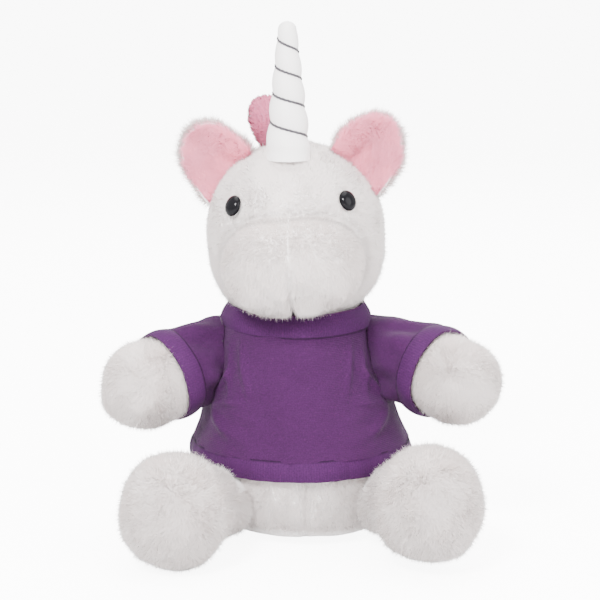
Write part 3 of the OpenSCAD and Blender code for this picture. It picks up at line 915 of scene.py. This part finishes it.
def make_torso():
    torso, d = ball(80, 56)
    t = np.arccos(np.clip(-d[:, 2], -1, 1)) / math.pi
    z = np.interp(t, [0, 0.16, 0.2, 0.3, 0.88, 0.90, 0.93, 1], [2.0, 2.2, 3.4, 12, 108, 111, 108.5, 103])
    r = np.where(t > 0.3, torso_radius(z) - 2.2, np.interp(t, [0, 0.16, 0.2, 0.3], [0, 37, 40, 46.5]))
    r = np.where(t > 0.88, np.interp(t, [0.88, 0.90, 0.93, 1], [31.8, 31, 27, 0]), r)
    a = np.arctan2(d[:, 0], -d[:, 1])
    places = np.stack([NECK_AT[0] * z + r * np.sin(a), NECK_AT[1] * z - r * np.cos(a), z], axis=1) * MM
    set_points(torso, places)
    p = stuffed(torso, cap=0.0006)
    seam = ridge(p[:, 0], 0.0012) * (p[:, 2] < 0.045) * (p[:, 2] > 0.0025)
    push(torso, (0.4 * swell(p, 0.03, 91) - 1.5 * seam) * MM * np.clip(p[:, 2] / 0.006, 0, 1))
    p = points_of(torso)
    p[:, 2] = np.maximum(p[:, 2], 0.0006)
    set_points(torso, p)
    finish(torso, "torso_skin", white_cloth, "torso",
           ("torso_cover", "seat_panel", "torso_stuffing", "neck_filling"))

    def lengths(root, out):
        low = np.clip((0.037 - root[:, 2]) / 0.004, 0, 1) * np.clip(0.35 + root[:, 2] / 0.008, 0, 1)
        top = (root[:, 2] > 0.104) * np.where(out[:, 2] > 0.2, 1.0, 0.0)
        return np.where(out[:, 2] < -0.6, 0.0, 1.0) * low + top

    pile(torso, "torso_pile", white_fibre, "torso", 190000, 2.9 * MM, 92, lengths=lengths)


def make_tail():
    root = pivot("tail_swing")
    axis = unit(middle("tail_cover") - root)
    outline = smooth_outline([(-5, 0), (-4, 3), (0, 5), (5, 6.5), (14, 9), (22, 9.4), (28, 6), (30, 0)], 40)
    tail = pod(root, axis, outline, 48, 40)
    push(tail, 0.4 * MM * swell(points_of(tail), 0.014, 95))
    finish(tail, "tail_skin", rose_cloth, "tail", ("tail_cover", "tail_stuffing"))
    pile(tail, "tail_pile", body="tail", count=12000, length=1.9 * MM, seed=96, comb=axis * 0.6, wild=0.3,
         **TUFTED)


# ---------------------------------------------------------------- shirt
HEM_Z, BODY_Z, COLLAR_Z = 35.0, 45.0, 103.4
JERSEY = 0.9 * MM  # the cloth's thickness
# Distance along the arm and the least radius of the sleeve there, mm, so that the arm stays inside.
SLEEVE_ROOM = [(-9, 10.7), (-3, 16.2), (12, 18.1), (30, 18.3)]
ARMPIT, BACK_OF_ARM = (68, 66), (112, 66)  # angle from the front in degrees, and height in mm
FOLDS = [  # both ends, height and half width in mm, and how much of it fades at its ends
    (ARMPIT, (44, 88), 2.2, 2.0, 0.3), (ARMPIT, (34, 70), 2.3, 2.4, 0.3),
    (ARMPIT, (40, 52), 1.9, 2.6, 0.3), (ARMPIT, (22, 60), 1.2, 2.4, 0.3),
    ((46, 102), (30, 68), 2.0, 2.0, 0.4), ((56, 98), (46, 66), 1.8, 1.9, 0.4),
    ((64, 60), (26, 50), 1.4, 3.0, 0.4),
    (BACK_OF_ARM, (150, 84), 1.1, 3.0, 0.4), (BACK_OF_ARM, (160, 60), 1.2, 3.2, 0.4)]


def shirt_wrinkles(p):
    """How far the jersey stands off, in metres: folds from each armpit, and soft waves above the hem."""
    away = 0.35 * MM * swell(p * (1, 1, 0.45), 0.030, 101) + 0.22 * MM * swell(p * (1, 1, 0.6), 0.013, 102)
    for sign in SIDES.values():
        for *ends, high, wide, fade in FOLDS:
            start, end = (torso_point(math.radians(turn * sign), z, 2.0) for turn, z in ends)
            away += high * MM * near_line(p, start, end, wide * MM, fade)
    return away


def make_shirt_half(name, start, stop, node):
    def shape(u, v):
        angle = start + (stop - start) * u
        z = BODY_Z - 1 + (COLLAR_Z + 1.5 - BODY_Z + 1) * v
        return torso_point(angle, z, 1.0 + 1.9 * np.clip((57 - z) / 12, 0, 1) ** 1.5)

    half = strip(150, 90, shape, closed=False)
    cloth_map(half, 0.147, 0.062)
    p = points_of(half)
    set_points(half, p + flat_out(p) * shirt_wrinkles(p)[:, None])
    use_modifier(half, "SOLIDIFY", thickness=JERSEY, offset=-1)
    finish(half, name, jersey, "torso", node)


def make_hem():
    def shape(u, v):
        stand_off = 2.4 + np.sin(v * math.pi) + 0.6 * (1 - v)
        return torso_point(u * 2 * math.pi, HEM_Z + (BODY_Z - HEM_Z) * v, stand_off)

    band = strip(240, 16, shape)
    cloth_map(band, 2 * math.pi * 0.053, (BODY_Z - HEM_Z) * MM, top=1.0)
    p = points_of(band)
    away = 0.5 * MM * swell(p * (1, 1, 0.3), 0.030, 101) + 0.3 * MM * swell(p * (1, 1, 0.3), 0.014, 103)
    set_points(band, p + flat_out(p) * away[:, None])
    use_modifier(band, "SOLIDIFY", thickness=0.0016, offset=-1)
    finish(band, "hem_ribbing", ribbing, "torso", "hem_band")


def make_neck_band():
    tilt = math.radians(2.7)

    def shape(u, v):
        angle = u * 2 * math.pi
        r = 36.6 - 3.9 * v + 1.6 * np.sin(v * math.pi)
        x, y = r * np.sin(angle), -r * np.cos(angle)
        z = (v - 0.5) * 10.6 + 0.4 + y * math.sin(tilt)
        return middle("neck_band") + np.stack([x, y, z], axis=1) * MM

    band = strip(200, 18, shape)
    cloth_map(band, 2 * math.pi * 0.036, 0.0105)
    push(band, 0.25 * MM * swell(points_of(band), 0.02, 104))
    use_modifier(band, "SOLIDIFY", thickness=0.0022, offset=-1)
    finish(band, "neck_ribbing", ribbing, "torso", "neck_band")


def make_sleeve(side):
    sign = SIDES[side]
    shoulder = pivot(f"{side}_arm_raise")
    axis = unit(middle(f"{side}_cuff") - shoulder)
    across = unit(np.cross(axis, (0, 0, 1)))
    across = across if across[1] < 0 else -across
    up = np.cross(across, axis)
    up = up if up[2] > 0 else -up

    def off_arm(p):
        """How far along the arm points are, and their places off its axis."""
        s = (p - shoulder) @ axis
        return s, p - shoulder - s[:, None] * axis

    def seam_at(u):
        """The raglan seam on the torso: 0 at the collar, a quarter at the front, a half at the armpit."""
        c, s = np.cos(u * 2 * math.pi), np.sin(u * 2 * math.pi)
        tall = np.sign(c) * np.abs(c) ** 0.75
        wide = np.sign(s) * np.abs(s) ** 0.62
        z = 85.0 + 20.0 * tall
        turn = math.radians(88) - math.radians(27) * wide * (1 - 0.12 * tall)
        return torso_point(sign * turn, z, 1.6)

    def ring_at(u, s, r):
        """A ring round the arm, s along it and r off it in mm: 0 at the top, a quarter at the front."""
        angle = u * 2 * math.pi
        s = s * MM + 0 * angle
        return round_axis(shoulder, axis, up, across, s, r * MM * np.cos(angle), r * MM * np.sin(angle))

    def shape(u, v):
        first, last = seam_at(u), ring_at(u, 22.5, 20.6)
        t = v[:, None]
        between = 0.35 * ring_at(u, 9, 20.6) + 0.65 * (first + last) / 2
        return (1 - t) ** 2 * first + 2 * t * (1 - t) * between + t ** 2 * last

    sleeve = strip(160, 70, shape)
    cloth_map(sleeve, 0.130, 0.034)
    p = points_of(sleeve)
    out = normals_of(sleeve)
    s, off = off_arm(p)
    if (out * off).sum() < 0:
        out = -out
    a = np.arctan2(off @ across, off @ up)
    along = np.clip((s + 2 * MM) / (25 * MM), 0, 1)
    folds = 0.9 * np.sin(5 * a + 96 * s + 1.2 * sign) + 0.6 * np.sin(9 * a - 2.0 * sign + s * 160)
    away = MM * (1.35 * folds * np.sin(along * math.pi) + 0.5 * swell(p, 0.014, 110 + sign))
    p += out * away[:, None]
    s, off = off_arm(p)
    clear_of_arm = np.interp(s / MM, *np.array(SLEEVE_ROOM).T) * MM
    short_by = np.clip(clear_of_arm - np.linalg.norm(off, axis=1), 0, None) * (s > -9 * MM)
    set_points(sleeve, p + unit(off) * short_by[:, None])
    use_modifier(sleeve, "SOLIDIFY", thickness=JERSEY, offset=0)
    finish(sleeve, f"{side}_sleeve_cloth", jersey,
           ("torso", f"{side}_arm", tuple(shoulder - axis * 8 * MM), tuple(shoulder + axis * 14 * MM)),
           f"{side}_sleeve")

    # A thin dark cord laid on the raglan seam: painted shade where the seam's crease is in shadow.
    def seam_shadow_cord(u, v):
        base = seam_at(v)
        angle = u * 2 * math.pi
        return (base + flat_out(base) * (0.5 * MM + 0.45 * MM * np.cos(angle))[:, None]
                + np.array([0, 0, 1.0]) * (0.4 * MM * np.sin(angle))[:, None])

    cord = strip(8, 260, seam_shadow_cord)
    finish(cord, f"{side}_raglan_seam", seam_shadow_thread, "torso", ())

    def cuff_shape(u, v):
        return ring_at(u, 21.5 + 9.5 * v, 20.9 + 0.8 * np.sin(v * math.pi) + 0.5 * v)

    cuff = strip(160, 14, cuff_shape)
    cloth_map(cuff, 2 * math.pi * 0.0212, 0.0095)
    p = points_of(cuff)
    set_points(cuff, p + unit(off_arm(p)[1]) * (0.35 * MM * swell(p, 0.02, 120 + sign))[:, None])
    use_modifier(cuff, "SOLIDIFY", thickness=0.0014, offset=0)
    finish(cuff, f"{side}_cuff_ribbing", ribbing, f"{side}_arm", f"{side}_cuff")


def make_label():
    """A blank woven tape, folded once, that hangs from the side seam behind the hem."""
    at = middle("care_label")
    out = flat_out(at)
    side = np.cross((0, 0, 1), out)

    def shape(u, v):
        s = (u - 0.5) * 2
        drop = 9.0 * MM * (1 - np.abs(s))
        lean = 0.55 * MM * np.sign(s) * np.clip(np.abs(s) * 8, 0, 1) + 0.6 * MM * np.sin(v * 5 + 1)
        return (at - out * 4.5 * MM + side * ((v - 0.5) * 10 * MM)[:, None] + out * (drop + 0.0015)[:, None]
                + np.array([0, 0, -1.0]) * (drop * 0.7 + lean)[:, None])

    tape = strip(40, 16, shape, closed=False)
    cloth_map(tape, 0.018, 0.010)
    use_modifier(tape, "SOLIDIFY", thickness=0.0003, offset=0)
    finish(tape, "care_label_tape", tape_cloth, "torso", "care_label")


make_head()
make_muzzle()
for side in SIDES:
    make_eye(side)
    make_ear(side)
make_horn()
make_crest()
make_torso()
for side in SIDES:
    make_arm(side)
    make_leg(side)
make_tail()
make_shirt_half("shirt_front_cloth", -math.pi / 2, math.pi / 2, "shirt_front")
make_shirt_half("shirt_back_cloth", math.pi / 2, math.pi * 1.5, "shirt_back")
make_hem()
make_neck_band()
for side in SIDES:
    make_sleeve(side)
make_label()

# ---------------------------------------------------------------- floor, light and camera
fresh()
ops.mesh.primitive_plane_add(size=60, location=(0, 0, -0.0005))
floor = bpy.context.object
floor.name = "studio_floor"
paper = Cloth("studio_paper", Base_Color=(0.9, 0.9, 0.9), Roughness=0.9, Emission_Color=(1, 1, 1))
seen_by_camera = paper.add("ShaderNodeLightPath")
paper.put(paper.shader.inputs["Emission Strength"], seen_by_camera * 8.0)
floor.data.materials.append(paper.material)

aim = Vector((-0.0025, 0, 0.112))
for name, place, size, power in (("key", (-0.35, -1.0, 0.9), 0.35, 40), ("fill", (0.9, -0.8, 0.6), 1.2, 20),
                                 ("back", (0.2, 0.9, 1.0), 1.0, 20), ("over", (0, 0, 1.5), 1.2, 24)):
    ops.object.light_add(type="AREA", location=place)
    light = bpy.context.object
    light.name = name + "_light"
    light.data.shape = "DISK"
    light.data.size = size
    light.data.energy = power
    light.data.specular_factor = 0.25 if name == "fill" else 1.0
    light.rotation_euler = (aim - Vector(place)).to_track_quat("-Z", "Y").to_euler()

world = bpy.data.worlds.new("studio")
world.use_nodes = True
world.node_tree.nodes["Background"].inputs[0].default_value = (1, 1, 1, 1)
world.node_tree.nodes["Background"].inputs[1].default_value = 1.7
bpy.context.scene.world = world

CAMERA_RISE = math.radians(10)
CAMERA_AWAY = 1.0
SEEN_WIDTH = 0.293
towards = Vector((0, -math.cos(CAMERA_RISE), math.sin(CAMERA_RISE)))
ops.object.camera_add(location=aim + CAMERA_AWAY * towards)
camera = bpy.context.object
camera.name = "camera"
camera.rotation_euler = (aim - camera.location).to_track_quat("-Z", "Y").to_euler()
camera.data.sensor_width = 36
camera.data.lens = camera.data.sensor_width * CAMERA_AWAY / SEEN_WIDTH
bpy.context.scene.camera = camera
